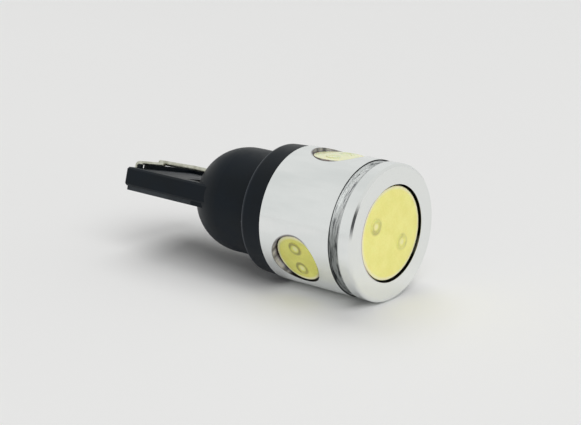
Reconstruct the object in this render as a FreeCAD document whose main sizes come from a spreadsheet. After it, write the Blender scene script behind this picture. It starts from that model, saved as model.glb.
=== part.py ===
# Wedge base LED bulb: a round aluminium head with one front and three side light windows,
# on a black moulded base whose flat blade plugs into a lamp holder.
# The bulb stands on the flat ring face of its head. The origin is the middle of that face,
# +Z runs from the head up to the blade, X is the blade's width and Y its thickness.
# Lengths are in millimetres and angles in degrees.

import FreeCAD, Part
import math
import os

import Sketcher
from FreeCAD import Placement, Rotation, Vector

doc = FreeCAD.newDocument("wedge_base_led_bulb")
sheet = doc.addObject("Spreadsheet::Sheet", "Sizes")

# Driving sizes: name, value, what it is
SIZES = [
    ("sleeve_radius", 6.25, "outside of the aluminium head"),
    ("sleeve_length", 10.2, "from the ring face to the black base"),
    ("sleeve_wall", 1.2, "head's wall round the bore for the core and the spigot"),
    ("front_wall", 1.0, "thickness of the ring face"),
    ("front_lip", 0.62, "ring face's hole inside the bore, on the radius"),
    ("front_edge_round", 0.3, "rounding of the head's front edge"),
    ("rear_edge_chamfer", 0.12, "bright edge beside the base"),
    ("groove_start", 1.28, "front side of the turned groove"),
    ("groove_width", 1.03, "width of the turned groove"),
    ("groove_depth", 0.55, "depth of the turned groove"),
    ("side_window_radius", 2.53, "three round holes in the head's side"),
    ("side_window_height", 6.35, "centre of the side windows above the ring face"),
    ("window_turn", 80.5, "angle of the first side window from the blade's width"),
    ("core_clearance", 0.1, "core and boards inside the bore, on the radius"),
    ("core_flat_depth", 1.65, "bore's wall down to the flats that carry the side boards"),
    ("core_bore_radius", 1.3, "wire passage along the core"),
    ("board_thickness", 0.8, "aluminium LED boards on the sides"),
    ("side_board_clearance", 0.06, "side boards' corners inside the bore"),
    ("side_board_length", 5.2, "side LED board along the axis"),
    ("front_board_thickness", 1.0, "round LED board behind the ring face"),
    ("side_disc_clearance", 0.11, "yellow disc in a side window, on the radius"),
    ("side_phosphor_height", 1.5, "side disc's height above its board"),
    ("front_disc_clearance", 0.17, "yellow disc in the front window, on the radius"),
    ("front_recess", 0.18, "ring face down to the front disc"),
    ("chip_size", 0.9, "square light chips under the side discs"),
    ("front_chip_size", 1.2, "square light chips under the front disc"),
    ("chip_height", 0.2, "height of the light chips"),
    ("side_chip_offset", 1.08, "side chips from the middle of their disc"),
    ("side_chip_turn", 3.5, "angle of a side disc's chips from across the axis"),
    ("front_chip_offset", 2.24, "front chips from the point midway between them"),
    ("front_chip_turn", 15.2, "angle of the front chips from the blade's width"),
    ("front_chip_across", 0.25, "point midway between them off the axis, along X"),
    ("front_chip_drop", 0.11, "point midway between them off the axis, against Y"),
    ("side_ring_radius", 0.62, "raised ring over each side chip"),
    ("front_ring_radius", 0.64, "raised ring over each front chip"),
    ("ring_width", 0.16, "width of the raised rings"),
    ("ring_height", 0.07, "height of the raised rings"),
    ("collar_step", 0.07, "base's collar inside the head's outline, on the radius"),
    ("collar_taper", 0.12, "collar's rear edge inside its front edge, on the radius"),
    ("collar_shoulder", 1.06, "collar's rear edge down to the dome, on the radius"),
    ("collar_length", 2.33, "collar along the axis"),
    ("collar_edge_round", 0.3, "rounding of the collar's rear edge"),
    ("spigot_clearance", 0.05, "base's spigot in the head's bore, on the radius"),
    ("spigot_length", 1.15, "spigot inside the head"),
    ("dome_straight", 4.17, "straight part between the collar and the dome"),
    ("base_wall", 0.8, "wall of the hollow base"),
    ("blade_width", 9.5, "flat blade across"),
    ("blade_thickness", 1.82, "flat blade through"),
    ("blade_reach", 7.0, "blade's end beyond the top of the dome"),
    ("blade_corner_round", 0.25, "rounded corners of the blade's end"),
    ("blade_end_chamfer", 0.18, "lead-in along the blade's end"),
    ("end_lip_height", 0.4, "lip across each face at the blade's end"),
    ("end_lip_length", 0.4, "lip along the axis"),
    ("end_lip_step", 0.3, "lip below the blade's end"),
    ("end_lip_gap", 0.08, "between a contact wire and the sides of its notch in the lip"),
    ("end_lip_shoulder", 0.35, "lip beyond the contact wire's notch"),
    ("end_lip_inset", 0.25, "lip's far end inside the blade's edge"),
    ("side_rim_width", 0.45, "rim along each face, from the dome to the lip's far end"),
    ("contact_offset", 2.93, "contact wires from the blade's middle"),
    ("contact_wire_radius", 0.18, "bare wire over the blade's end"),
    ("contact_overhang", 0.4, "contact wire's middle beyond the blade's end"),
    ("contact_anchor", 3.2, "contact wire inside the blade"),
    ("contact_rise_end", 0.43, "contact wire's middle above the face, at the end"),
    ("contact_rise_tip", 0.81, "contact wire's middle above the face, at its tip"),
    ("contact_reach", 3.2, "contact wire's tip from the blade's end"),
    ("contact_bend", 0.36, "bend radius of the contact wires"),
    ("lead_offset", 2.46, "lead wires from the blade's middle"),
    ("lead_wire_radius", 0.24, "bare lead wire along the blade"),
    ("lead_bend", 0.7, "bend radius of the lead wires"),
    ("lead_rise", 1.08, "lead wire's middle above the face, at the dome"),
    ("lead_rise_tip", 0.9, "lead wire's middle above the face, at its tip"),
    ("lead_reach", 2.15, "lead wire's tip from the blade's end"),
    ("wire_hole_clearance", 0.08, "holes round the wires, on the radius"),
    ("recess_width", 1.7, "recess at the foot of the blade"),
    ("recess_sink", 1.45, "recess's floor below the top of the dome"),
    ("recess_length", 1.75, "recess along the axis"),
    ("recess_depth", 0.35, "recess below the blade's face"),
    ("recess_rise", 1.45, "recess above the blade's face"),
    ("driver_board_clearance", 0.1, "driver board's edges in the hollow"),
    ("driver_board_thickness", 0.8, "driver board through"),
    ("driver_board_length", 7.3, "driver board along the axis"),
    ("input_resistor_inset", 2.1, "input resistor's middle from the board's edge"),
    ("seat_clearance", 0.1, "driver board and spigot above the core"),
    ("feed_wire_radius", 0.25, "insulated wires to the LED boards"),
    ("feed_wire_spacing", 1.2, "between the two wires in the core"),
    ("link_bend", 0.5, "bend radius of the insulated wires"),
    ("link_rise", 1.2, "core's end up to the link wires' bend"),
    ("feed_rise", 0.6, "core up to the end of the two wires in it"),
]


class Size:
    """A value together with the sheet expression that gives it."""

    def __init__(self, value, text):
        self.value = value
        self.text = text

    def __add__(self, other):
        other = as_size(other)
        return Size(self.value + other.value, f"({self.text} + {other.text})")

    def __sub__(self, other):
        other = as_size(other)
        return Size(self.value - other.value, f"({self.text} - {other.text})")

    def __rsub__(self, other):
        return as_size(other) - self

    def __mul__(self, other):
        other = as_size(other)
        return Size(self.value * other.value, f"({self.text} * {other.text})")

    def __truediv__(self, other):
        other = as_size(other)
        return Size(self.value / other.value, f"({self.text} / {other.text})")

    def __neg__(self):
        return Size(-self.value, f"(-{self.text})")

    __radd__ = __add__
    __rmul__ = __mul__


def as_size(number):
    return number if isinstance(number, Size) else Size(number, str(number))


def fill_sheet():
    """Write the driving sizes into the sheet and return them by name."""
    named = {}
    for row, (name, value, note) in enumerate(SIZES, start=1):
        sheet.set(f"A{row}", name)
        sheet.set(f"B{row}", str(value))
        sheet.set(f"C{row}", note)
        sheet.setAlias(f"B{row}", name)
        named[name] = Size(value, f"Sizes.{name}")
    doc.recompute()
    return named


def root(number):
    return Size(math.sqrt(number.value), f"sqrt({number.text})")


size = fill_sheet()
ZERO = as_size(0)
WINDOWS = 3
QUARTER_TURN = 90
TOLERANCE = 1e-4

# Places that several pieces share
groove_end = size["groove_start"] + size["groove_width"]
groove_floor = size["sleeve_radius"] - size["groove_depth"]
bore_radius = size["sleeve_radius"] - size["sleeve_wall"]
front_window_radius = bore_radius - size["front_lip"]
collar_front_radius = size["sleeve_radius"] - size["collar_step"]
collar_rear_radius = collar_front_radius - size["collar_taper"]
dome_radius = collar_rear_radius - size["collar_shoulder"]
cavity_radius = dome_radius - size["base_wall"]
core_radius = bore_radius - size["core_clearance"]
core_flat = bore_radius - size["core_flat_depth"]
core_start = size["front_wall"] + size["front_board_thickness"]
spigot_end = size["sleeve_length"] - size["spigot_length"]
core_end = spigot_end - size["seat_clearance"]
side_board_face = core_flat + size["board_thickness"]
side_board_corner = bore_radius - size["side_board_clearance"]
side_board_half = root(side_board_corner * side_board_corner - side_board_face * side_board_face)
side_board_start = size["side_window_height"] - size["side_board_length"] / 2
side_board_end = size["side_window_height"] + size["side_board_length"] / 2
side_disc_radius = size["side_window_radius"] - size["side_disc_clearance"]
front_disc_radius = front_window_radius - size["front_disc_clearance"]
collar_end = size["sleeve_length"] + size["collar_length"]
dome_centre = collar_end + size["dome_straight"]
dome_top = dome_centre + dome_radius
blade_end = dome_top + size["blade_reach"]
blade_face = size["blade_thickness"] / 2
recess_floor = dome_top - size["recess_sink"]
recess_top = recess_floor + size["recess_length"]
board_face = size["driver_board_thickness"] / 2
board_start = core_end + size["seat_clearance"]
board_end = board_start + size["driver_board_length"]
board_half = cavity_radius - size["driver_board_clearance"]


def bind(thing, path, value):
    thing.setExpression(path, value.text)


def new_body(label):
    body = doc.addObject("PartDesign::Body", label)
    body.Label = label
    return body


def origin_feature(body, role):
    return next(item for item in body.Origin.OriginFeatures if item.Role == role)


def new_sketch(body, name, role, height=ZERO):
    """Sketch on one of the body's own origin planes, raised along its normal."""
    sketch = body.newObject("Sketcher::SketchObject", name)
    sketch.AttachmentSupport = (origin_feature(body, role), [""])
    sketch.MapMode = "FlatFace"
    sketch.AttachmentOffset = Placement(Vector(0, 0, height.value), Rotation())
    if height is not ZERO:
        bind(sketch, "AttachmentOffset.Base.z", height)
    return sketch


def fix_point(sketch, item, end, across, up):
    """Hold a point of a sketch at (across, up) from its origin."""
    for kind, axis, place in (("DistanceX", -2, across), ("DistanceY", -1, up)):
        if place.value == 0:
            sketch.addConstraint(Sketcher.Constraint("PointOnObject", item, end, axis))
        else:
            index = sketch.addConstraint(
                Sketcher.Constraint(kind, -1, 1, item, end, place.value))
            bind(sketch, f"Constraints[{index}]", place)


def add_outline(sketch, corners):
    """Closed outline. A corner is (across, up), or (across, up, centre height) where
    a round stretch about a point on the upright axis leads on from it."""
    count = len(corners)
    spots = [Vector(corner[0].value, corner[1].value, 0) for corner in corners]
    starts = []
    for index, corner in enumerate(corners):
        here = spots[index]
        there = spots[(index + 1) % count]
        if len(corner) == 2:
            item = sketch.addGeometry(Part.LineSegment(here, there))
            starts.append((item, 1, 2))
            continue
        middle = Vector(0, corner[2].value, 0)
        arm = here - middle
        reach = there - middle
        first = math.atan2(arm.y, arm.x)
        last = math.atan2(reach.y, reach.x)
        circle = Part.Circle(middle, Vector(0, 0, 1), arm.Length)
        if last > first:
            item = sketch.addGeometry(Part.ArcOfCircle(circle, first, last))
            starts.append((item, 1, 2))
        else:
            item = sketch.addGeometry(Part.ArcOfCircle(circle, last, first))
            starts.append((item, 2, 1))
        fix_point(sketch, item, 3, ZERO, corner[2])
    for index, (item, start, end) in enumerate(starts):
        following, its_start, its_end = starts[(index + 1) % count]
        sketch.addConstraint(Sketcher.Constraint("Coincident", item, end, following, its_start))
    for index, (item, start, end) in enumerate(starts):
        on_arc_end = len(corners[index - 1]) == 3 and corners[index][0].value == 0
        if on_arc_end:
            sketch.addConstraint(Sketcher.Constraint("PointOnObject", item, start, -2))
        else:
            fix_point(sketch, item, start, corners[index][0], corners[index][1])


def add_circle(sketch, across, up, radius):
    item = sketch.addGeometry(
        Part.Circle(Vector(across.value, up.value, 0), Vector(0, 0, 1), radius.value))
    fix_point(sketch, item, 3, across, up)
    index = sketch.addConstraint(Sketcher.Constraint("Radius", item, radius.value))
    bind(sketch, f"Constraints[{index}]", radius)


def turn_about_axis(body, sketch, name, kind="PartDesign::Revolution"):
    feature = body.newObject(kind, name)
    feature.Profile = sketch
    feature.ReferenceAxis = (sketch, ["V_Axis"])
    feature.Angle = 360
    return feature


def add_pad(body, sketch, name, length, both_ways=False):
    pad = body.newObject("PartDesign::Pad", name)
    pad.Profile = sketch
    pad.Midplane = both_ways
    bind(pad, "Length", length)
    return pad


def add_pocket(body, sketch, name, length, forwards=False):
    """Cut against the sketch's normal, or along it where forwards is set."""
    pocket = body.newObject("PartDesign::Pocket", name)
    pocket.Profile = sketch
    pocket.Reversed = forwards
    bind(pocket, "Length", length)
    return pocket


def repeat_about_axis(body, feature, name, count):
    pattern = body.newObject("PartDesign::PolarPattern", name)
    pattern.Originals = [feature]
    pattern.Axis = (origin_feature(body, "Z_Axis"), [""])
    pattern.Angle = 360
    pattern.Occurrences = count
    body.Tip = pattern
    return pattern


def round_edges(feature, radius, height):
    """Names of the feature's full circles of that radius at that height."""
    names = []
    for index, edge in enumerate(feature.Shape.Edges, start=1):
        if edge.Degenerated or not isinstance(edge.Curve, Part.Circle):
            continue
        curve = edge.Curve
        same_radius = abs(curve.Radius - radius.value) < TOLERANCE
        same_height = abs(curve.Center.z - height.value) < TOLERANCE
        on_axis = math.hypot(curve.Center.x, curve.Center.y) < TOLERANCE
        if same_radius and same_height and on_axis:
            names.append(f"Edge{index}")
    return names


def dress_edges(body, kind, name, feature, names, path, value):
    doc.recompute()
    dressing = body.newObject(kind, name)
    dressing.Base = (feature, names)
    bind(dressing, path, value)
    body.Tip = dressing
    return dressing


def turn_body(body, angle):
    body.Placement = Placement(Vector(), Rotation(Vector(0, 0, 1), angle.value))
    bind(body, "Placement.Rotation.Angle", angle)


def window_direction(index):
    return size["window_turn"] + 360 / WINDOWS * index


# The aluminium head: one turned piece with its windows bored through
def make_sleeve():
    body = new_body("heat_sink_sleeve")
    profile = new_sketch(body, "SleeveProfile", "XZ_Plane")
    add_outline(profile, [
        (front_window_radius, ZERO),
        (size["sleeve_radius"], ZERO),
        (size["sleeve_radius"], size["groove_start"]),
        (groove_floor, size["groove_start"]),
        (groove_floor, groove_end),
        (size["sleeve_radius"], groove_end),
        (size["sleeve_radius"], size["sleeve_length"]),
        (bore_radius, size["sleeve_length"]),
        (bore_radius, size["front_wall"]),
        (front_window_radius, size["front_wall"]),
    ])
    turned = turn_about_axis(body, profile, "SleeveTurning")
    doc.recompute()
    front_edge = round_edges(turned, size["sleeve_radius"], ZERO)
    rounded = dress_edges(body, "PartDesign::Fillet", "FrontRounding", turned, front_edge,
                          "Radius", size["front_edge_round"])
    doc.recompute()
    rear_edge = round_edges(rounded, size["sleeve_radius"], size["sleeve_length"])
    dress_edges(body, "PartDesign::Chamfer", "RearEdge", rounded, rear_edge,
                "Size", size["rear_edge_chamfer"])
    doc.recompute()
    drilling = new_sketch(body, "WindowDrilling", "YZ_Plane")
    add_circle(drilling, ZERO, size["side_window_height"], size["side_window_radius"])
    window = add_pocket(body, drilling, "SideWindow", size["sleeve_radius"] * 2, forwards=True)
    doc.recompute()
    repeat_about_axis(body, window, "SideWindows", WINDOWS)
    turn_body(body, size["window_turn"])
    return body


# The moulded base: spigot, collar, dome and blade in one piece, hollow inside
def make_base():
    body = new_body("wedge_base")
    profile = new_sketch(body, "BaseProfile", "XZ_Plane")
    spigot_radius = bore_radius - size["spigot_clearance"]
    add_outline(profile, [
        (ZERO, spigot_end),
        (spigot_radius, spigot_end),
        (spigot_radius, size["sleeve_length"]),
        (collar_front_radius, size["sleeve_length"]),
        (collar_rear_radius, collar_end),
        (dome_radius, collar_end),
        (dome_radius, dome_centre, dome_centre),
        (ZERO, dome_top),
    ])
    turned = turn_about_axis(body, profile, "BaseTurning")
    doc.recompute()
    collar_edge = round_edges(turned, collar_rear_radius, collar_end)
    dress_edges(body, "PartDesign::Fillet", "CollarRounding", turned, collar_edge,
                "Radius", size["collar_edge_round"])
    doc.recompute()

    outline = new_sketch(body, "BladeOutline", "XZ_Plane")
    half_width = size["blade_width"] / 2
    add_outline(outline, [
        (-half_width, dome_centre),
        (half_width, dome_centre),
        (half_width, blade_end),
        (-half_width, blade_end),
    ])
    blade = add_pad(body, outline, "Blade", size["blade_thickness"], both_ways=True)
    doc.recompute()
    lip_top = blade_end - size["end_lip_step"]
    lip_outline = new_sketch(body, "EndLipOutline", "XY_Plane",
                             lip_top - size["end_lip_length"])
    lip_level = blade_face + size["end_lip_height"]
    notch_half = size["contact_wire_radius"] + size["end_lip_gap"]
    notch_inside = size["contact_offset"] - notch_half
    notch_outside = size["contact_offset"] + notch_half
    lip_near = notch_outside + size["end_lip_shoulder"]
    lip_far = half_width - size["end_lip_inset"]
    add_outline(lip_outline, [
        (-lip_far, ZERO),
        (lip_near, ZERO),
        (lip_near, lip_level),
        (notch_outside, lip_level),
        (notch_outside, blade_face),
        (notch_inside, blade_face),
        (notch_inside, lip_level),
        (-lip_far, lip_level),
    ])
    lip = add_pad(body, lip_outline, "EndLip", size["end_lip_length"])
    doc.recompute()
    repeat_about_axis(body, lip, "EndLips", 2)
    doc.recompute()
    rim_outline = new_sketch(body, "SideRimOutline", "XY_Plane", dome_centre)
    add_outline(rim_outline, [
        (-lip_far, ZERO),
        (size["side_rim_width"] - lip_far, ZERO),
        (size["side_rim_width"] - lip_far, lip_level),
        (-lip_far, lip_level),
    ])
    rim = add_pad(body, rim_outline, "SideRim", lip_top - dome_centre)
    doc.recompute()
    rims = repeat_about_axis(body, rim, "SideRims", 2)
    doc.recompute()
    corners = blade_corner_edges(rims)
    rounded = dress_edges(body, "PartDesign::Fillet", "BladeCorners", rims, corners,
                          "Radius", size["blade_corner_round"])
    doc.recompute()
    lead_in = blade_end_edges(rounded)
    dress_edges(body, "PartDesign::Chamfer", "BladeLeadIn", rounded, lead_in,
                "Size", size["blade_end_chamfer"])
    doc.recompute()

    hollow = new_sketch(body, "HollowProfile", "XZ_Plane")
    add_outline(hollow, [
        (ZERO, spigot_end),
        (cavity_radius, spigot_end),
        (cavity_radius, dome_centre, dome_centre),
        (ZERO, dome_centre + cavity_radius),
    ])
    turn_about_axis(body, hollow, "Hollow", "PartDesign::Groove")
    doc.recompute()

    recess_outline = new_sketch(body, "RecessOutline", "XY_Plane", recess_floor)
    recess_inside = size["lead_offset"] - size["recess_width"] / 2
    recess_outside = size["lead_offset"] + size["recess_width"] / 2
    add_outline(recess_outline, [
        (recess_inside, blade_face - size["recess_depth"]),
        (recess_outside, blade_face - size["recess_depth"]),
        (recess_outside, blade_face + size["recess_rise"]),
        (recess_inside, blade_face + size["recess_rise"]),
    ])
    recess = add_pocket(body, recess_outline, "Recess",
                        recess_top - recess_floor, forwards=True)
    doc.recompute()
    repeat_about_axis(body, recess, "Recesses", 2)

    lead_drilling = new_sketch(body, "LeadDrilling", "XY_Plane", recess_floor)
    add_circle(lead_drilling, size["lead_offset"], blade_face + size["lead_rise"],
               size["lead_wire_radius"] + size["wire_hole_clearance"])
    lead_hole = add_pocket(body, lead_drilling, "LeadHole",
                           recess_floor - dome_centre)
    doc.recompute()
    repeat_about_axis(body, lead_hole, "LeadHoles", 2)

    end_drilling = new_sketch(body, "EndDrilling", "XY_Plane", blade_end)
    add_circle(end_drilling, size["contact_offset"], ZERO, size["contact_wire_radius"])
    end_hole = add_pocket(body, end_drilling, "EndHole", size["contact_anchor"])
    doc.recompute()
    repeat_about_axis(body, end_hole, "EndHoles", 2)
    return body


def blade_corner_edges(feature):
    """The two straight edges through the blade's thickness at its end."""
    names = []
    for index, edge in enumerate(feature.Shape.Edges, start=1):
        box = edge.BoundBox
        at_end = box.ZMin > blade_end.value - TOLERANCE
        through = box.YLength > size["blade_thickness"].value - TOLERANCE
        if at_end and through and box.XLength < TOLERANCE:
            names.append(f"Edge{index}")
    return names


def blade_end_edges(feature):
    """The two long edges of the blade's end face."""
    names = []
    for index, edge in enumerate(feature.Shape.Edges, start=1):
        box = edge.BoundBox
        at_end = box.ZMin > blade_end.value - TOLERANCE
        if at_end and box.XLength > size["blade_width"].value / 2 and box.YLength < TOLERANCE:
            names.append(f"Edge{index}")
    return names


# The core: a round bar with three flats, which carries the side boards
def make_core():
    body = new_body("core_post")
    section = new_sketch(body, "CoreSection", "XY_Plane", core_start)
    add_circle(section, ZERO, ZERO, core_radius)
    bar = add_pad(body, section, "CoreBar", core_end - core_start)
    doc.recompute()
    flat_outline = new_sketch(body, "FlatOutline", "XY_Plane", core_end)
    add_outline(flat_outline, [
        (core_flat, -bore_radius),
        (bore_radius, -bore_radius),
        (bore_radius, bore_radius),
        (core_flat, bore_radius),
    ])
    flat = add_pocket(body, flat_outline, "Flat", core_end - core_start)
    doc.recompute()
    repeat_about_axis(body, flat, "Flats", WINDOWS)
    passage = new_sketch(body, "WirePassage", "XY_Plane", core_end)
    add_circle(passage, ZERO, ZERO, size["core_bore_radius"])
    add_pocket(body, passage, "Passage", core_end - core_start)
    turn_body(body, size["window_turn"])
    return body


# One side LED board, on the core's flat that faces its window
def make_side_board(index):
    body = new_body(f"side_led_board_{index + 1}")
    outline = new_sketch(body, f"SideBoardOutline{index + 1}", "YZ_Plane",
                         core_flat)
    add_outline(outline, [
        (-side_board_half, side_board_start),
        (side_board_half, side_board_start),
        (side_board_half, side_board_end),
        (-side_board_half, side_board_end),
    ])
    add_pad(body, outline, f"SideBoard{index + 1}", size["board_thickness"])
    turn_body(body, window_direction(index))
    return body


def make_front_board():
    body = new_body("front_led_board")
    outline = new_sketch(body, "FrontBoardOutline", "XY_Plane", size["front_wall"])
    add_circle(outline, ZERO, ZERO, core_radius)
    add_pad(body, outline, "FrontBoard", size["front_board_thickness"])
    return body


def chip_places(offset, turn, midway=Vector()):
    """Middles of the two chips under a disc, in the disc's own plane."""
    angle = math.radians(turn.value)
    step = Vector(math.cos(angle), math.sin(angle), 0) * offset.value
    return [midway + step, midway - step]


def chip_shapes(width, height, places):
    """The square chips of one disc, standing on the plane z = 0."""
    shapes = []
    for middle in places:
        corner = middle - Vector(width / 2, width / 2, 0)
        shapes.append(Part.makeBox(width, width, height, corner))
    return shapes


def ring_shapes(radius, level, places):
    """The raised rings on a disc whose top is at that level."""
    shapes = []
    height = size["ring_height"].value
    inner_radius = radius - size["ring_width"].value
    for middle in places:
        foot = middle + Vector(0, 0, level)
        outer = Part.makeCylinder(radius, height, foot)
        shapes.append(outer.cut(Part.makeCylinder(inner_radius, height, foot)))
    return shapes


def make_shape(label, shape, placement):
    feature = doc.addObject("Part::Feature", label)
    feature.Label = label
    feature.Shape = shape
    feature.Placement = placement
    return feature


def disc_placement(angle):
    """Puts a disc's plane on a side board, looking out along the window's angle."""
    outwards = Rotation(Vector(0, 0, 1), angle.value)
    upright = Rotation(Vector(0, 1, 0), QUARTER_TURN)
    foot = Vector(side_board_face.value, 0, size["side_window_height"].value)
    return Placement(outwards.multVec(foot), outwards.multiply(upright))


def make_disc(label, radius, height, chip, ring_radius, places, placement):
    """A yellow disc with pockets for its chips below and raised rings on top."""
    disc = Part.makeCylinder(radius.value, height.value)
    chips = chip_shapes(chip.value, size["chip_height"].value, places)
    rings = ring_shapes(ring_radius.value, height.value, places)
    return make_shape(label, disc.cut(chips).fuse(rings).removeSplitter(), placement)


def make_chips(label, chip, places, placement):
    chips = chip_shapes(chip.value, size["chip_height"].value, places)
    return make_shape(label, Part.makeCompound(chips), placement)


def make_side_light(index):
    placement = disc_placement(window_direction(index))
    places = chip_places(size["side_chip_offset"], QUARTER_TURN + size["side_chip_turn"])
    disc = make_disc(f"side_phosphor_{index + 1}", side_disc_radius,
                     size["side_phosphor_height"], size["chip_size"], size["side_ring_radius"],
                     places, placement)
    chips = make_chips(f"side_chips_{index + 1}", size["chip_size"], places, placement)
    return [disc, chips]


def make_front_light():
    downwards = Placement(Vector(0, 0, size["front_wall"].value), Rotation(Vector(1, 0, 0), 180))
    midway = Vector(size["front_chip_across"].value, size["front_chip_drop"].value, 0)
    places = chip_places(size["front_chip_offset"], -size["front_chip_turn"], midway)
    disc = make_disc("front_phosphor", front_disc_radius,
                     size["front_wall"] - size["front_recess"], size["front_chip_size"],
                     size["front_ring_radius"], places, downwards)
    chips = make_chips("front_chips", size["front_chip_size"], places, downwards)
    return [disc, chips]


def make_driver_board():
    body = new_body("driver_board")
    outline = new_sketch(body, "DriverBoardOutline", "XZ_Plane")
    add_outline(outline, [
        (-board_half, board_start),
        (board_half, board_start),
        (board_half, board_end),
        (-board_half, board_end),
    ])
    add_pad(body, outline, "DriverBoard", size["driver_board_thickness"], both_ways=True)
    return body


# Parts on the driver board: name, side of the board, middle across, height above the
# board's lower edge, and width, height and thickness of the part
COMPONENTS = [
    ("bridge_rectifier", 1, 0.0, 4.9, 3.6, 2.6, 1.2),
    ("smoothing_capacitor", 1, -1.9, 2.5, 1.6, 0.8, 0.8),
    ("driver_chip", -1, 0.0, 4.9, 2.9, 2.6, 1.1),
    ("sense_resistor", -1, -1.2, 2.3, 2.0, 1.25, 0.55),
    ("input_resistor", -1, board_half - size["input_resistor_inset"], 2.3, 2.0, 1.25, 0.55),
]


def make_component(label, side, middle, rise, width, length, thickness):
    box = doc.addObject("Part::Box", label)
    box.Label = label
    box.Length = width
    box.Width = thickness
    box.Height = length
    bind(box, "Placement.Base.x", as_size(middle) - width / 2)
    near_side = board_face if side > 0 else -board_face - thickness
    bind(box, "Placement.Base.y", near_side)
    bind(box, "Placement.Base.z", board_start + (rise - length / 2))
    return box


def bent_wire(points, radius, bend):
    """Round wire along straight runs joined by tangent arcs."""
    edges = []
    start = points[0]
    for index in range(1, len(points) - 1):
        corner = points[index]
        inwards = (corner - points[index - 1]).normalize()
        onwards = (points[index + 1] - corner).normalize()
        turn = inwards.getAngle(onwards)
        setback = bend * math.tan(turn / 2)
        arc_start = corner - inwards * setback
        arc_end = corner + onwards * setback
        middle_line = (onwards - inwards).normalize()
        middle = corner + middle_line * (bend / math.cos(turn / 2) - bend)
        edges.append(Part.LineSegment(start, arc_start).toShape())
        edges.append(Part.Arc(arc_start, middle, arc_end).toShape())
        start = arc_end
    edges.append(Part.LineSegment(start, points[-1]).toShape())
    path = Part.Wire(edges)
    first_run = (points[1] - points[0]).normalize()
    section = Part.Wire([Part.makeCircle(radius, points[0], first_run)])
    return path.makePipeShell([section], True, False)


def half_turn(index):
    return Placement(Vector(), Rotation(Vector(0, 0, 1), 180 * index))


# A contact wire: out of the blade's end, round it and back over the face
def make_contact_wire(index):
    across = size["contact_offset"].value
    end = blade_end.value
    outermost = end + size["contact_overhang"].value
    face = blade_face.value
    rise_end = face + size["contact_rise_end"].value
    rise_tip = face + size["contact_rise_tip"].value
    points = [
        Vector(across, 0, end - size["contact_anchor"].value),
        Vector(across, 0, outermost),
        Vector(across, rise_end, outermost),
        Vector(across, rise_tip, end - size["contact_reach"].value),
    ]
    shape = bent_wire(points, size["contact_wire_radius"].value, size["contact_bend"].value)
    return make_shape(f"contact_wire_{index + 1}", shape, half_turn(index))


# A lead wire: from the driver board through the dome and along the blade's face
def make_lead_wire(index):
    across = size["lead_offset"].value
    radius = size["lead_wire_radius"].value
    on_board = board_face.value + radius
    level = blade_face.value + size["lead_rise"].value
    tip_level = blade_face.value + size["lead_rise_tip"].value
    bend = size["lead_bend"].value
    slant_top = recess_floor.value - bend * 2
    slant_foot = slant_top - (level - on_board)
    points = [
        Vector(across, on_board, board_end.value - bend * 2),
        Vector(across, on_board, slant_foot),
        Vector(across, level, slant_top),
        Vector(across, level, recess_top.value),
        Vector(across, tip_level, blade_end.value - size["lead_reach"].value),
    ]
    shape = bent_wire(points, radius, bend)
    return make_shape(f"lead_wire_{index + 1}", shape, half_turn(index))


# The pair of wires down the core to the front board
def make_feed_wire(label, side):
    radius = size["feed_wire_radius"].value
    across = side * size["feed_wire_spacing"].value / 2
    on_board = board_face.value + radius
    rise = board_start.value + size["feed_rise"].value
    points = [
        Vector(across, on_board, core_start.value),
        Vector(across, on_board, rise),
    ]
    shape = bent_wire(points, radius, size["link_bend"].value)
    return make_shape(label, shape, Placement())


# A link wire: from the end of a side board up and over to the driver board
def make_link_wire(index):
    radius = size["feed_wire_radius"].value
    angle = math.radians(window_direction(index).value)
    distance = core_flat.value + size["board_thickness"].value / 2
    across = distance * math.cos(angle)
    outwards = distance * math.sin(angle)
    side = math.copysign(1, outwards)
    rise = core_end.value + size["link_rise"].value
    points = [
        Vector(across, outwards, side_board_end.value),
        Vector(across, outwards, rise),
        Vector(across, side * board_face.value, rise),
    ]
    shape = bent_wire(points, radius, size["link_bend"].value)
    return make_shape(f"link_wire_{index + 1}", shape, Placement())


pieces = [make_sleeve(), make_base(), make_core(), make_front_board(), make_driver_board()]
for window in range(WINDOWS):
    pieces.append(make_side_board(window))
    pieces.extend(make_side_light(window))
    pieces.append(make_link_wire(window))
pieces.extend(make_front_light())
for component in COMPONENTS:
    pieces.append(make_component(*component))
for side in range(2):
    pieces.append(make_contact_wire(side))
    pieces.append(make_lead_wire(side))
pieces.append(make_feed_wire("feed_wire_plus", 1))
pieces.append(make_feed_wire("feed_wire_minus", -1))
doc.recompute()

for item in doc.Objects:
    if "Invalid" in item.State or "Error" in item.State:
        raise RuntimeError(f"{item.Label} failed: {item.State}")
for piece in pieces:
    if piece.Shape.isNull() or not piece.Shape.isValid():
        raise RuntimeError(f"{piece.Label} has no valid shape")

os.makedirs("parts", exist_ok=True)
for piece in pieces:
    piece.Shape.exportStep(f"parts/{piece.Label}.step")
    print(piece.Label, len(piece.Shape.Solids), round(piece.Shape.Volume, 3))
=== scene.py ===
import math
from collections import namedtuple

import bmesh
import bpy
from mathutils import Matrix, Vector


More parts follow.
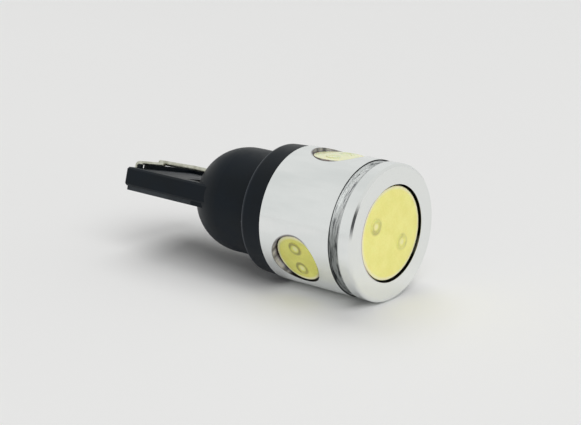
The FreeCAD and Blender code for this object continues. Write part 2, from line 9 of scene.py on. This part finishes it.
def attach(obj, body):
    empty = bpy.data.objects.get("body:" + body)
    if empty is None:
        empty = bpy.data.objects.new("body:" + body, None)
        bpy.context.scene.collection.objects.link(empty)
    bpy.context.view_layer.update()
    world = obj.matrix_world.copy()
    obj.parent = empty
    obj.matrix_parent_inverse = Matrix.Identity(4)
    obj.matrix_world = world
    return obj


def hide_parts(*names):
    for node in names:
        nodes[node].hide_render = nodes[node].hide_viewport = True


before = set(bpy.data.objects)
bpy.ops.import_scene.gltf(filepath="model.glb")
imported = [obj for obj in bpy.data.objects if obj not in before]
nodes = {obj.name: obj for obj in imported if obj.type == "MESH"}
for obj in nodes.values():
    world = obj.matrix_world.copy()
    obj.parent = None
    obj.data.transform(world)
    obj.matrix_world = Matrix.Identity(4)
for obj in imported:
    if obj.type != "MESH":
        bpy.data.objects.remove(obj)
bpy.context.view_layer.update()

# Sizes of the bulb, in metres. It stands on its ring face, with the blade at the top.
MM = 0.001
SLEEVE_RADIUS = 6.25 * MM
SLEEVE_EDGE = 0.03 * MM
GROOVE_START = 1.28 * MM
GROOVE_END = 2.31 * MM
BORE_RADIUS = 5.05 * MM
FRONT_WINDOW_RADIUS = 4.43 * MM
FRONT_WINDOW_DEPTH = 1.0 * MM
SIDE_WINDOW_RADIUS = 2.53 * MM
SIDE_WINDOW_HEIGHT = 6.35 * MM
WINDOW_ANGLES = [math.radians(80.5 + 120 * index) for index in range(3)]
BOARD_FACE = 4.2 * MM
COLLAR_END = 12.53 * MM
BLADE_END = 28.7 * MM
BLADE_FOOT = 20.0 * MM
BLADE_HALF = 4.75 * MM
BLADE_FACE = 0.91 * MM

# A face is told by its place, with this much to spare on turned faces and on window walls
SKIN = 0.02 * MM
WALL_SKIN = 0.006 * MM

# Points this close are one point, and edges steeper than this look sharp
SAME_POINT = 1e-8
SHARP_ANGLE = math.radians(35)

# The cast discs, their rounded rims, and the raised bead over each light chip
DISC_RIM = 0.1 * MM
BEAD_WIDTH = 0.3 * MM
BEAD_HEIGHT = 0.045 * MM
BEAD_FOOT = 0.05 * MM
Disc = namedtuple("Disc", "radius height crown hollow chip_space bead_radius chips")

# Middles of the light chips: across and up on the front disc, across and along on a side one
FRONT_CHIPS = [(0.25 * MM + 2.24 * MM * math.cos(turn), 2.24 * MM * math.sin(turn) - 0.11 * MM)
               for turn in (math.radians(15.2), math.radians(195.2))]
SIDE_CHIPS = [(1.078 * MM, 0.066 * MM), (-1.078 * MM, -0.066 * MM)]

FRONT_DISC = Disc(radius=4.26 * MM, height=0.82 * MM, crown=0.04 * MM, hollow=3.3 * MM,
                  chip_space=0.2 * MM, bead_radius=0.56 * MM, chips=FRONT_CHIPS)
SIDE_DISC = Disc(radius=2.42 * MM, height=1.45 * MM, crown=0.1 * MM, hollow=1.8 * MM,
                 chip_space=0.2 * MM, bead_radius=0.54 * MM, chips=SIDE_CHIPS)
TOP_DISC = SIDE_DISC._replace(height=1.7 * MM)

# Which way is up, right and towards the viewer for the bulb lying on its side
UP = Vector((0.2657, 0.9641, 0.0))
RIGHT = Vector((-0.6163, 0.1701, -0.7689))
VIEWER = Vector((0.7413, -0.2044, -0.6394))

# The level floor lies a little under the ring face
FLOOR_SIZE = 3.0
FLOOR_DROP = 0.02 * MM


class Signal:
    """One shader socket. A sum on signals adds the Math nodes that it needs."""

    def __init__(self, recipe, socket):
        self.recipe = recipe
        self.socket = socket

    def __add__(self, other):
        return self.recipe.maths("ADD", self, other)

    def __sub__(self, other):
        return self.recipe.maths("SUBTRACT", self, other)

    def __rsub__(self, other):
        return self.recipe.maths("SUBTRACT", other, self)

    def __mul__(self, other):
        return self.recipe.maths("MULTIPLY", self, other)

    def __lt__(self, other):
        return self.recipe.maths("LESS_THAN", self, other)

    def __gt__(self, other):
        return self.recipe.maths("GREATER_THAN", self, other)

    def __abs__(self):
        return self.recipe.maths("ABSOLUTE", self)

    __radd__ = __add__
    __rmul__ = __mul__


class Recipe:
    """A tree of shader nodes, for a material or the surroundings."""

    def __init__(self, tree):
        self.tree = tree

    def feed(self, socket, value):
        """Links a signal to a socket, or sets the socket's own value."""
        if isinstance(value, Signal):
            self.tree.links.new(value.socket, socket)
        else:
            socket.default_value = value

    def node(self, kind, settings=None, sockets=None, output=0):
        """Adds a node, sets it up, feeds its sockets and returns one of its outputs."""
        made = self.tree.nodes.new(kind)
        for name, value in (settings or {}).items():
            setattr(made, name, value)
        for key, value in (sockets or {}).items():
            self.feed(made.inputs[key], value)
        return Signal(self, made.outputs[output])

    def maths(self, operation, first, second=0.0, third=0.0):
        return self.node("ShaderNodeMath", {"operation": operation},
                         {0: first, 1: second, 2: third})

    def place(self):
        """Object coordinates, in metres."""
        return self.node("ShaderNodeTexCoord", output="Object")

    def parts(self, vector):
        """The x, y and z of a place."""
        split = self.node("ShaderNodeSeparateXYZ", sockets={0: vector}).socket.node
        return [Signal(self, socket) for socket in split.outputs]

    def join(self, x, y, z):
        """A place made of three signals or numbers."""
        return self.node("ShaderNodeCombineXYZ", sockets={0: x, 1: y, 2: z})

    def noise(self, vector, scale, detail=3.0, roughness=0.5):
        return self.node("ShaderNodeTexNoise", sockets={
            "Vector": vector, "Scale": scale, "Detail": detail, "Roughness": roughness})

    def spread(self, value, low, high, start=0.0, end=1.0):
        """Maps low..high smoothly onto start..end, and stops there."""
        return self.node("ShaderNodeMapRange", {"interpolation_type": "SMOOTHSTEP"},
                         {0: value, 1: low, 2: high, 3: start, 4: end})

    def fade(self, value, full, none):
        """One up to a first value, falling smoothly to nothing at a second."""
        return self.spread(value, full, none, 1.0, 0.0)

    def near_angle(self, angle, middle, full, none):
        """One within so many degrees of a middle angle, falling smoothly to nothing."""
        return self.fade(abs(angle - math.radians(middle)), math.radians(full), math.radians(none))

    def mix(self, factor, first, second):
        """Blends two colours."""
        return self.node("ShaderNodeMix", {"data_type": "RGBA"},
                         {0: factor, 6: first, 7: second}, output=2)

    def coats(self, colour, layers):
        """Lays colours over a first one, each as far as its mask says."""
        for mask, coat in layers:
            colour = self.mix(mask, colour, coat)
        return colour

    def bump(self, height, distance, strength):
        return self.node("ShaderNodeBump", sockets={
            "Strength": strength, "Distance": distance, "Height": height})

    def length(self, across, along):
        """Distance from the middle, for a place across and along."""
        return self.maths("SQRT", across * across + along * along)

    def level(self):
        """Height above the axis of the lying bulb."""
        return self.node("ShaderNodeVectorMath", {"operation": "DOT_PRODUCT"},
                         {0: self.place(), 1: UP}, output="Value")

    def front_coordinates(self):
        """Place across and up on the front of the bulb, from its middle."""
        return self.parts(self.place())[:2]

    def round_coordinates(self):
        """Angle about the bulb's axis, distance from it and height, from the place."""
        x, y, z = self.parts(self.place())
        return self.maths("ARCTAN2", y, x), self.length(x, y), z

    def window_coordinates(self):
        """Place across and along the nearest side window, from the window's middle."""
        angle, distance, height = self.round_coordinates()
        half_pitch = math.radians(60)
        turn = self.maths("WRAP", angle - WINDOW_ANGLES[0], half_pitch, -half_pitch)
        return distance * self.maths("SINE", turn), height - SIDE_WINDOW_HEIGHT


def shade(hexadecimal):
    """A colour written as it looks on screen, such as D9DBDA."""
    channels = []
    for index in (0, 2, 4):
        level = int(hexadecimal[index:index + 2], 16) / 255
        channels.append(level / 12.92 if level <= 0.04045 else ((level + 0.055) / 1.055) ** 2.4)
    return (*channels, 1.0)


def new_material(name, **sockets):
    """A material and its recipe. Sockets are the shader's constants."""
    material = bpy.data.materials.new(name)
    material.use_nodes = True
    recipe = Recipe(material.node_tree)
    recipe.shader = material.node_tree.nodes["Principled BSDF"]
    for key, value in sockets.items():
        recipe.shader.inputs[key.replace("_", " ")].default_value = value
    return material, recipe


def dress(recipe, **surface):
    """Feeds the shader's sockets that change over the surface."""
    for key, value in surface.items():
        recipe.feed(recipe.shader.inputs[key.replace("_", " ")], value)


def groove_finish(recipe, angle, distance, height):
    """Where the groove is, its turned relief and its streaky colour, darker low down as painted
    shade, with a painted shade line along its rear edge.
    """
    in_groove = (distance < SLEEVE_RADIUS - SKIN) * (distance > BORE_RADIUS)
    in_groove = in_groove * (height > GROOVE_START - SKIN) * (height < GROOVE_END + SKIN)

    # Noise drawn out round the axis gives streaks that follow the turning
    in_section = height + distance
    streaks = recipe.noise(recipe.join(angle * 1.3, in_section * 2700, 0.0),
                           scale=1.5, detail=4.0, roughness=0.72)
    scratches = recipe.noise(recipe.join(angle * 3.0, in_section * 4200, 9.0),
                             scale=1.5, detail=3.0, roughness=0.6)
    # Painted shade: the groove's colours grow darker the lower they lie on the lying bulb
    low = recipe.fade(recipe.level(), -1.0 * MM, 4.0 * MM)
    rings = recipe.spread(streaks * 0.45 + scratches * 0.85 - low * 0.05, 0.47, 0.67)
    deep = recipe.mix(low, shade("84878A"), shade("26282A"))
    bright = recipe.mix(low, shade("F4F6F5"), shade("B0B4B2"))
    # Painted shade: a near black line along the groove's rear edge, by the outer surface
    near_top = recipe.spread(distance, SLEEVE_RADIUS - 0.2 * MM, SLEEVE_RADIUS - 0.1 * MM)
    rear_edge_shade = in_groove * (height > GROOVE_END - 0.04 * MM) * near_top
    colour = recipe.mix(rear_edge_shade, recipe.mix(rings, deep, bright), shade("202224"))
    return in_groove, streaks + 0.5 * scratches, colour


def side_window_finish(recipe, distance, on_side):
    """The side windows' walls with painted reflection streaks, their deep and low parts in painted
    shade, and a painted dark reflection round each rim, with the colours.
    """
    across, along = recipe.window_coordinates()
    from_middle = recipe.length(across, along)
    wall = (from_middle < SIDE_WINDOW_RADIUS + WALL_SKIN) * (distance > BORE_RADIUS - 0.2 * MM)
    # Painted reflection: grey streaks on the window walls stand in for what the polished walls
    # mirror
    reflection_streak = recipe.noise(recipe.join(across * 900, along * 900, 0.0), scale=1.2)
    painted_wall_colour = recipe.mix(recipe.spread(reflection_streak, 0.4, 0.6), shade("65636B"), shade("B4B1B8"))
    # Painted shade: the walls turn dark brown deeper into the window
    deep_shade = recipe.fade(distance, 5.55 * MM, 5.95 * MM)
    painted_wall_colour = recipe.mix(deep_shade, painted_wall_colour, shade("3A2E22"))
    # Painted shade: the low part of each side window's wall, as the bulb lies, is later coloured
    # near black
    low_wall_shade = wall * recipe.fade(across + along * 0.55, -1.4 * MM, -0.5 * MM)
    # Painted reflection: a dark brown line round each side window's rim, paler on the top window
    # as painted light
    rim = recipe.fade(from_middle, SIDE_WINDOW_RADIUS + 0.05 * MM, SIDE_WINDOW_RADIUS + 0.16 * MM)
    rim = rim * (1 - wall) * on_side * recipe.spread(across * 0.8 + along, -0.9 * MM, 1.2 * MM)
    lit_at_top = recipe.spread(recipe.level(), 4.0 * MM, 5.0 * MM)
    rim_reflection_colour = recipe.mix(lit_at_top, shade("4B4038"), shade("7A7078"))
    return wall, painted_wall_colour, low_wall_shade, rim, rim_reflection_colour


def front_marks(recipe, angle, distance, height, on_side):
    """The front window's wall, later coloured near black as painted shade, with its painted glint
    and its outline, a painted shade line at the groove and a painted dark reflection slash at the
    front.
    """
    wall = (distance < FRONT_WINDOW_RADIUS + WALL_SKIN) * (height > SKIN)
    wall = wall * (height < FRONT_WINDOW_DEPTH + 0.01 * MM)
    glint = wall * recipe.near_angle(angle, -168, 6, 14)
    outline = (distance < FRONT_WINDOW_RADIUS + 0.1 * MM) * (height < 0.05 * MM)
    outline = outline * recipe.near_angle(angle, -15, 40, 62)
    # Painted shade: a dark line on the side just before the groove
    from_groove = abs(height - (GROOVE_START - SLEEVE_EDGE))
    groove_edge_shade = on_side * recipe.fade(from_groove, 0.02 * MM, 0.07 * MM)
    # Painted reflection: a short dark slash on the front's rounded edge
    reflection_slash = recipe.near_angle(angle, 8, 3, 18) * (height < 0.2 * MM)
    reflection_slash = reflection_slash * (distance > SLEEVE_RADIUS - 0.32 * MM) * (distance < SLEEVE_RADIUS - 0.06 * MM)
    return wall, glint, outline, groove_edge_shade, reflection_slash


def turned_aluminium():
    """Polished, near white, with fine turning marks and a streaky groove; the window walls are
    coloured dark as painted shade, with painted reflections and highlights at the windows and the
    front.
    """
    material, recipe = new_material("turned_aluminium")
    angle, distance, height = recipe.round_coordinates()
    on_side = distance > SLEEVE_RADIUS - SLEEVE_EDGE
    in_groove, groove_relief, groove_colour = groove_finish(recipe, angle, distance, height)
    side_wall, painted_wall_colour, low_wall_shade, rim, rim_reflection_colour = side_window_finish(
        recipe, distance, on_side)
    front_wall, glint, outline, groove_edge_shade, reflection_slash = front_marks(
        recipe, angle, distance, height, on_side)
    # Painted shade: the front window's wall and the side windows' low walls are coloured near
    # black
    painted_shade_wall = recipe.maths("MAXIMUM", front_wall, low_wall_shade)

    # Fine turning lines, and broad pale bands along the side
    lines = recipe.noise(recipe.join(angle * 0.15, height * 1000, distance * 1000),
                         scale=14.0, detail=2.0)
    bands = recipe.noise(recipe.join(angle * 1.6, height * 60, 0.0), scale=1.3)
    side = recipe.mix(recipe.spread(bands, 0.35, 0.65), shade("F4F6F5"), shade("EAEDEC"))
    colour = recipe.coats(recipe.mix(on_side, shade("EEF0EE"), side), [
        (in_groove, groove_colour),
        (side_wall, painted_wall_colour),
        (painted_shade_wall, shade("141210")),
        (glint * 0.7, shade("8C8C8A")),
        (outline * 0.55, shade("A8918C")),
        (rim * 0.75, rim_reflection_colour),
        (groove_edge_shade * 0.5, shade("54585A")),
        (reflection_slash * 0.9, shade("26282C")),
    ])

    # The groove and the side windows' walls mirror less, and a band low on the side mirrors less
    # so the fill lamps lighten it, as painted light
    plain = in_groove * 0.5 + side_wall * 0.75
    low_side_lightening = recipe.spread(recipe.level(), -5.2 * MM, -2.6 * MM, 0.2, 0.0)
    low_side_lightening = low_side_lightening * recipe.spread(recipe.level(), -6.2 * MM, -5.5 * MM)
    roughness = 0.15 + 0.1 * recipe.spread(lines, 0.35, 0.65) + in_groove * 0.25
    relief = lines * (1 - in_groove) + groove_relief * in_groove * 5.0
    dress(recipe, Base_Color=colour, Metallic=1 - recipe.maths("MAXIMUM", plain, low_side_lightening),
          Roughness=roughness + painted_shade_wall * 0.3, Normal=recipe.bump(relief, 0.004 * MM, 0.5))
    return material


def satin_black():
    """Black moulded plastic with a fine grain, with painted highlights along the collar's edge and
    the blade's.
    """
    material, recipe = new_material("satin_black", Specular_IOR_Level=0.19,
                                    Specular_Tint=(0.82, 0.93, 1.0, 1.0))
    grain = recipe.noise(recipe.place(), scale=9000.0, detail=2.0)
    cloud = recipe.noise(recipe.place(), scale=420.0, detail=4.0)
    across, through, height = recipe.parts(recipe.place())
    # Painted highlight: a lighter line along the collar's rear edge
    collar_edge_highlight = recipe.spread(height, COLLAR_END - 0.44 * MM, COLLAR_END - 0.16 * MM)
    collar_edge_highlight = collar_edge_highlight * recipe.fade(height, COLLAR_END - SKIN, COLLAR_END + SKIN)
    # Painted highlight: a lighter band along the blade's edges on its faces
    blade_edge_highlight = recipe.spread(abs(across), BLADE_HALF - 0.45 * MM, BLADE_HALF)
    blade_edge_highlight = blade_edge_highlight * (abs(through) > BLADE_FACE - 0.01 * MM) * (height > BLADE_FOOT)
    body = recipe.mix(recipe.spread(cloud, 0.3, 0.7), shade("05090E"), shade("0A1017"))
    colour = recipe.coats(body, [
        (collar_edge_highlight * 0.55, shade("484C52")),
        (blade_edge_highlight * recipe.spread(cloud, 0.3, 0.6, 0.35, 0.8), shade("63676B")),
    ])
    dress(recipe, Base_Color=colour, Normal=recipe.bump(grain, 0.004 * MM, 0.4),
          Roughness=0.40 + 0.12 * recipe.spread(cloud, 0.35, 0.7) + 0.04 * grain)
    return material


def cast_phosphor(name, disc, coordinates, pale, deep, ring, rim, ring_reach):
    """Yellow cast silicone, slightly cloudy, with a soft ring over each chip and a pale rim that
    is a painted highlight.

    It is painted paler high up as a painted highlight, where only the disc in the top window
    reaches.
    """
    material, recipe = new_material(name, Subsurface_Weight=0.1, Subsurface_Scale=0.0005,
                                    Coat_Weight=0.8, Coat_Roughness=0.15)
    across, along = coordinates(recipe)
    rings = 0.0
    centres = 0.0
    for middle_across, middle_along in disc.chips:
        from_chip = recipe.length(across - middle_across, along - middle_along)
        rings = rings + recipe.fade(abs(from_chip - disc.bead_radius), 0.04 * MM, ring_reach)
        centres = centres + recipe.fade(from_chip, 0.1 * MM, 0.36 * MM)
    # Painted highlight: the discs turn pale cream towards their rim
    rim_highlight = recipe.spread(recipe.length(across, along), disc.radius - 0.42 * MM,
                           disc.radius - 0.05 * MM)
    cloud = recipe.noise(recipe.place(), scale=700.0)
    specks = recipe.noise(recipe.place(), scale=5200.0, detail=2.0)
    tone = recipe.spread(cloud, 0.3, 0.7) * 0.7 + 0.3 * recipe.spread(specks, 0.4, 0.6)
    colour = recipe.coats(recipe.mix(tone, shade(deep), shade(pale)), [
        (rings * recipe.spread(cloud, 0.38, 0.58, 0.25, 0.9), shade(ring)),
        (centres * 0.5, shade(rim)),
        (rim_highlight * 0.85, shade(rim)),
        # Painted highlight: paler high up on the lying bulb, on the top window's disc only
        (recipe.spread(recipe.level(), 4.6 * MM, 5.6 * MM, 0.0, 0.7), shade("F6F9CE")),
    ])
    dress(recipe, Base_Color=colour, Roughness=0.42 + 0.12 * cloud,
          Normal=recipe.bump(specks, 0.005 * MM, 0.4))
    return material


def tinned_copper():
    """Bare tinned wire, warm silver and a little dull."""
    material, recipe = new_material("tinned_copper", Metallic=1.0)
    cloud = recipe.noise(recipe.place(), scale=1500.0)
    colour = recipe.mix(recipe.spread(cloud, 0.35, 0.65), shade("B2B2A2"), shade("D6D6C8"))
    dress(recipe, Base_Color=colour, Roughness=0.26 + 0.14 * cloud,
          Normal=recipe.bump(cloud, 0.006 * MM, 0.4))
    return material


def plain_finish(name, dark, pale, scale, roughness, metallic=0.0):
    """A cloudy finish of two shades with a fine relief, for inner pieces and disc edges."""
    material, recipe = new_material(name, Metallic=metallic)
    cloud = recipe.noise(recipe.place(), scale, detail=4.0)
    colour = recipe.mix(recipe.spread(cloud, 0.3, 0.7), shade(dark), shade(pale))
    dress(recipe, Base_Color=colour, Roughness=roughness + 0.15 * cloud,
          Normal=recipe.bump(cloud, 0.004 * MM, 0.5))
    return material


def coat_nodes():
    """Gives each solid piece of the bulb its finish."""
    board = plain_finish("white_led_board", "DCDCD6", "EFEFEA", 1500.0, 0.3)
    chip = plain_finish("light_chip", "C7C24E", "E4DF84", 4000.0, 0.25)
    moulded = plain_finish("moulded_component", "17181A", "2A2B2D", 3500.0, 0.5)
    red = plain_finish("red_insulation", "8E1410", "B0231C", 3000.0, 0.38)
    tinned = tinned_copper()
    finishes = {
        "heat_sink_sleeve": turned_aluminium(),
        "wedge_base": satin_black(),
        "core_post": plain_finish("milled_core", "B9BBBB", "D6D8D8", 900.0, 0.25, metallic=1.0),
        "front_led_board": board,
        "front_chips": chip,
        "driver_board": plain_finish("green_board", "0E4A2A", "1C6B3D", 1300.0, 0.3),
        "bridge_rectifier": moulded,
        "driver_chip": moulded,
        "sense_resistor": moulded,
        "input_resistor": moulded,
        "smoothing_capacitor": plain_finish("capacitor_ceramic", "9A7B55", "B6956C", 2600.0, 0.35),
        "feed_wire_plus": red,
        "feed_wire_minus": plain_finish("black_insulation", "131315", "242427", 3000.0, 0.38),
    }
    for index in (1, 2, 3):
        finishes[f"side_led_board_{index}"] = board
        finishes[f"side_chips_{index}"] = chip
        finishes[f"link_wire_{index}"] = red
    for index in (1, 2):
        finishes[f"contact_wire_{index}"] = tinned
        finishes[f"lead_wire_{index}"] = tinned
    for name, finish in finishes.items():
        nodes[name].data.materials[0] = finish


def arc_points(middle, radius, first, last, count):
    """Points of an arc in the outline's plane, from one angle in degrees to another."""
    points = []
    for index in range(count + 1):
        angle = math.radians(first + (last - first) * index / count)
        points.append((middle[0] + radius * math.cos(angle), middle[1] + radius * math.sin(angle)))
    return points


def lathe(outline, closed=False, steps=96):
    """A new shape: an outline of (distance, height) points spun about Z."""
    shape = bmesh.new()
    points = [shape.verts.new((distance, 0, height)) for distance, height in outline]
    following = points[1:] + points[:1] if closed else points[1:]
    edges = [shape.edges.new(pair) for pair in zip(points, following)]
    bmesh.ops.spin(shape, geom=points + edges, cent=(0, 0, 0), axis=(0, 0, 1),
                   angle=math.tau, steps=steps, use_merge=True)
    bmesh.ops.remove_doubles(shape, verts=shape.verts, dist=SAME_POINT)
    bmesh.ops.recalc_face_normals(shape, faces=shape.faces)
    return shape


def add_shape(piece, shape, move):
    """Puts a shape into a piece's shape at that place."""
    bmesh.ops.transform(shape, matrix=move, verts=shape.verts)
    for face in shape.faces:
        face.smooth = True
    carrier = bpy.data.meshes.new("carrier")
    shape.to_mesh(carrier)
    shape.free()
    piece.from_mesh(carrier)
    bpy.data.meshes.remove(carrier)


def crowned(disc, reach):
    """Height of a disc's slightly raised top at that distance from its middle."""
    return disc.height + disc.crown * (1 - (reach / disc.radius) ** 2)


def disc_shape(disc):
    """A disc with a rounded rim and a crowned top, hollow under its middle for the chips."""
    flat_radius = disc.radius - DISC_RIM
    rim = arc_points((flat_radius, disc.height - DISC_RIM), DISC_RIM, 0, 90, 5)
    outline = [(0, disc.chip_space), (disc.hollow, disc.chip_space), (disc.hollow, 0),
               (disc.radius, 0), *rim]
    steps = 12
    for step in range(steps - 1, -1, -1):
        reach = flat_radius * step / steps
        outline.append((reach, crowned(disc, reach)))
    shape = lathe(outline)
    for face in shape.faces:
        middle = face.calc_center_median()
        on_rim = math.hypot(middle.x, middle.y) > disc.radius - 0.2 * DISC_RIM
        face.material_index = 1 if on_rim else 0
    return shape


def bead_shape(disc, level):
    """A low round bead, with its foot just under the disc's top."""
    arch = [(disc.bead_radius - BEAD_WIDTH / 2, level - BEAD_FOOT)]
    steps = 8
    for step in range(steps + 1):
        angle = math.pi * step / steps
        arch.append((disc.bead_radius - BEAD_WIDTH / 2 * math.cos(angle),
                     level + BEAD_HEIGHT * math.sin(angle)))
    arch.append((disc.bead_radius + BEAD_WIDTH / 2, level - BEAD_FOOT))
    return lathe(arch, closed=True, steps=48)


def finish_piece(name, piece, materials, slot, *replaced):
    """Makes an object of the shape, which rides on the bulb and stands for CAD nodes."""
    mesh = bpy.data.meshes.new(name)
    piece.to_mesh(mesh)
    piece.free()
    for material in materials:
        mesh.materials.append(material)
    mesh.set_sharp_from_angle(angle=SHARP_ANGLE)
    made = bpy.data.objects.new(name, mesh)
    bpy.context.scene.collection.objects.link(made)
    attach(made, "root")
    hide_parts(*replaced)


def cast_disc(name, materials, disc, bead_places, move):
    """A cast disc with a bead over each chip, in place of the plain disc of that name."""
    piece = bmesh.new()
    add_shape(piece, disc_shape(disc), move)
    for place in bead_places:
        bead = bead_shape(disc, crowned(disc, place.length))
        add_shape(piece, bead, move @ Matrix.Translation(place))
    finish_piece(name, piece, materials, "phosphor", name)


def cast_discs():
    """The yellow discs in the four windows. The first side disc lies in the top window."""
    front = cast_phosphor("front_phosphor", FRONT_DISC, Recipe.front_coordinates, pale="F7F18E",
                          deep="EEE77C", ring="C2B862", rim="F5EEC8", ring_reach=0.38 * MM)
    front_edge = plain_finish("front_phosphor_edge", "CBBE5C", "D9CE6C", 900.0, 0.4)
    forwards = Matrix.Translation((0, 0, FRONT_WINDOW_DEPTH)) @ Matrix.Rotation(math.pi, 4, "X")
    front_places = [Vector((across, -up, 0)) for across, up in FRONT_DISC.chips]
    cast_disc("front_phosphor", [front, front_edge], FRONT_DISC, front_places, forwards)

    side = cast_phosphor("side_phosphor", SIDE_DISC, Recipe.window_coordinates, pale="E6E372",
                         deep="D6D35C", ring="8F8638", rim="F4F0CC", ring_reach=0.24 * MM)
    # Painted shade and light: the discs' edges are coloured dark brown as shade on the side discs
    # and paler as lit on the top disc
    shaded_side_edge = plain_finish("shaded_side_phosphor_edge", "5E4E26", "857540", 900.0, 0.4)
    lit_top_edge = plain_finish("lit_top_phosphor_edge", "7E7471", "B4ABA4", 2600.0, 0.4)
    side_places = [Vector((-along, across, 0)) for across, along in SIDE_DISC.chips]
    discs = [TOP_DISC, SIDE_DISC, SIDE_DISC]
    edges = [lit_top_edge, shaded_side_edge, shaded_side_edge]
    for index, (disc, edge, angle) in enumerate(zip(discs, edges, WINDOW_ANGLES), start=1):
        outwards = Matrix.Rotation(angle, 4, "Z")
        outwards @= Matrix.Translation((BOARD_FACE, 0, SIDE_WINDOW_HEIGHT))
        outwards @= Matrix.Rotation(math.radians(90), 4, "Y")
        cast_disc(f"side_phosphor_{index}", [side, edge], disc, side_places, outwards)


def one_sided_floor(name, centre, normal, colour, mirrored=False):
    """A pale floor that shows only from its upper side, to the viewer and, if set, in metal."""
    shape = bmesh.new()
    bmesh.ops.create_grid(shape, x_segments=1, y_segments=1, size=FLOOR_SIZE / 2)
    turn = Vector((0, 0, 1)).rotation_difference(normal).to_matrix().to_4x4()
    bmesh.ops.transform(shape, matrix=Matrix.Translation(centre) @ turn, verts=shape.verts)
    mesh = bpy.data.meshes.new(name)
    shape.to_mesh(mesh)
    shape.free()
    floor = bpy.data.objects.new(name, mesh)
    bpy.context.scene.collection.objects.link(floor)
    material, recipe = new_material(f"{name}_paper", Roughness=0.9, Specular_IOR_Level=0.1)
    tone = recipe.noise(recipe.place(), scale=6.0, detail=2.0)
    dress(recipe, Base_Color=recipe.mix(recipe.spread(tone, 0.3, 0.7), colour, shade("F3F3F2")))
    behind = recipe.node("ShaderNodeNewGeometry", output="Backfacing")
    clear = recipe.node("ShaderNodeBsdfTransparent")
    surface = recipe.node("ShaderNodeMixShader", sockets={
        0: behind, 1: Signal(recipe, recipe.shader.outputs[0]), 2: clear})
    recipe.feed(material.node_tree.nodes["Material Output"].inputs["Surface"], surface)
    mesh.materials.append(material)
    floor.visible_diffuse = False
    floor.visible_glossy = mirrored
    floor.visible_transmission = False
    floor.visible_shadow = False


def surroundings(pale, glow):
    """A pale background that metal mirrors, with a lower even light for the rest."""
    world = bpy.data.worlds.new("studio")
    bpy.context.scene.world = world
    world.use_nodes = True
    recipe = Recipe(world.node_tree)
    camera = recipe.node("ShaderNodeLightPath", output="Is Camera Ray")
    glossy = recipe.node("ShaderNodeLightPath", output="Is Glossy Ray")
    through = recipe.node("ShaderNodeLightPath", output="Is Transmission Ray")
    seen = recipe.maths("MINIMUM", camera + glossy + through, 1.0)
    background = world.node_tree.nodes["Background"]
    recipe.feed(background.inputs["Color"], recipe.mix(seen, glow, pale))
    background.inputs["Strength"].default_value = 1.0


def soft_lamp(name, direction, distance, size, power):
    """A square lamp that faces the bulb's middle, and that metal doesn't mirror."""
    middle = Vector((0.0, 0.0, BLADE_END / 2))
    data = bpy.data.lights.new(name, "AREA")
    data.shape = "SQUARE"
    data.size = size
    data.energy = power
    lamp = bpy.data.objects.new(name, data)
    lamp.location = middle + direction.normalized() * distance
    lamp.rotation_euler = direction.to_track_quat("Z", "Y").to_euler()
    lamp.visible_glossy = False
    bpy.context.scene.collection.objects.link(lamp)


def studio():
    """Two floors, for the bulb lying and standing, a pale room and five soft lamps."""
    paper = shade("F1F1F0")
    blade_way = Vector((0, 0, 1))
    one_sided_floor("side_floor", UP * -SLEEVE_RADIUS, UP, paper, mirrored=True)
    one_sided_floor("level_floor", blade_way * -FLOOR_DROP, blade_way, paper)
    surroundings(pale=shade("E2E3E2"), glow=(0.35, 0.35, 0.35, 1.0))
    soft_lamp("near_lamp", UP + RIGHT * 0.35 + VIEWER * 0.8, distance=1.1, size=0.8, power=5.1)
    soft_lamp("far_lamp", UP - VIEWER * 0.5, distance=1.1, size=0.8, power=4.2)
    soft_lamp("front_fill", VIEWER + RIGHT * 0.15 - UP * 0.25, distance=0.6, size=0.2, power=1.6)
    soft_lamp("back_fill", VIEWER * -0.6 - RIGHT * 0.5 - UP * 0.25, distance=0.6, size=0.2,
              power=1.4)
    soft_lamp("blade_fill", blade_way - UP * 0.3, distance=0.6, size=0.2, power=1.4)


def set_camera():
    """Looks down at the front of the lying bulb."""
    right = Vector((-0.616323, 0.170169, -0.768888))
    up = Vector((0.043027, 0.982192, 0.182888))
    back = Vector((0.786317, 0.079635, -0.612669))
    place = Vector((0.109186, 0.010794, -0.073490))
    data = bpy.data.cameras.new("camera")
    data.lens = 92.94
    data.sensor_width = 36.0
    data.clip_start = 0.005
    camera = bpy.data.objects.new("camera", data)
    turn = Matrix((right, up, back)).transposed().to_4x4()
    camera.matrix_world = Matrix.Translation(place) @ turn
    bpy.context.scene.collection.objects.link(camera)
    bpy.context.scene.camera = camera


set_camera()
coat_nodes()
cast_discs()
studio()
bpy.context.scene.view_settings.view_transform = "Standard"
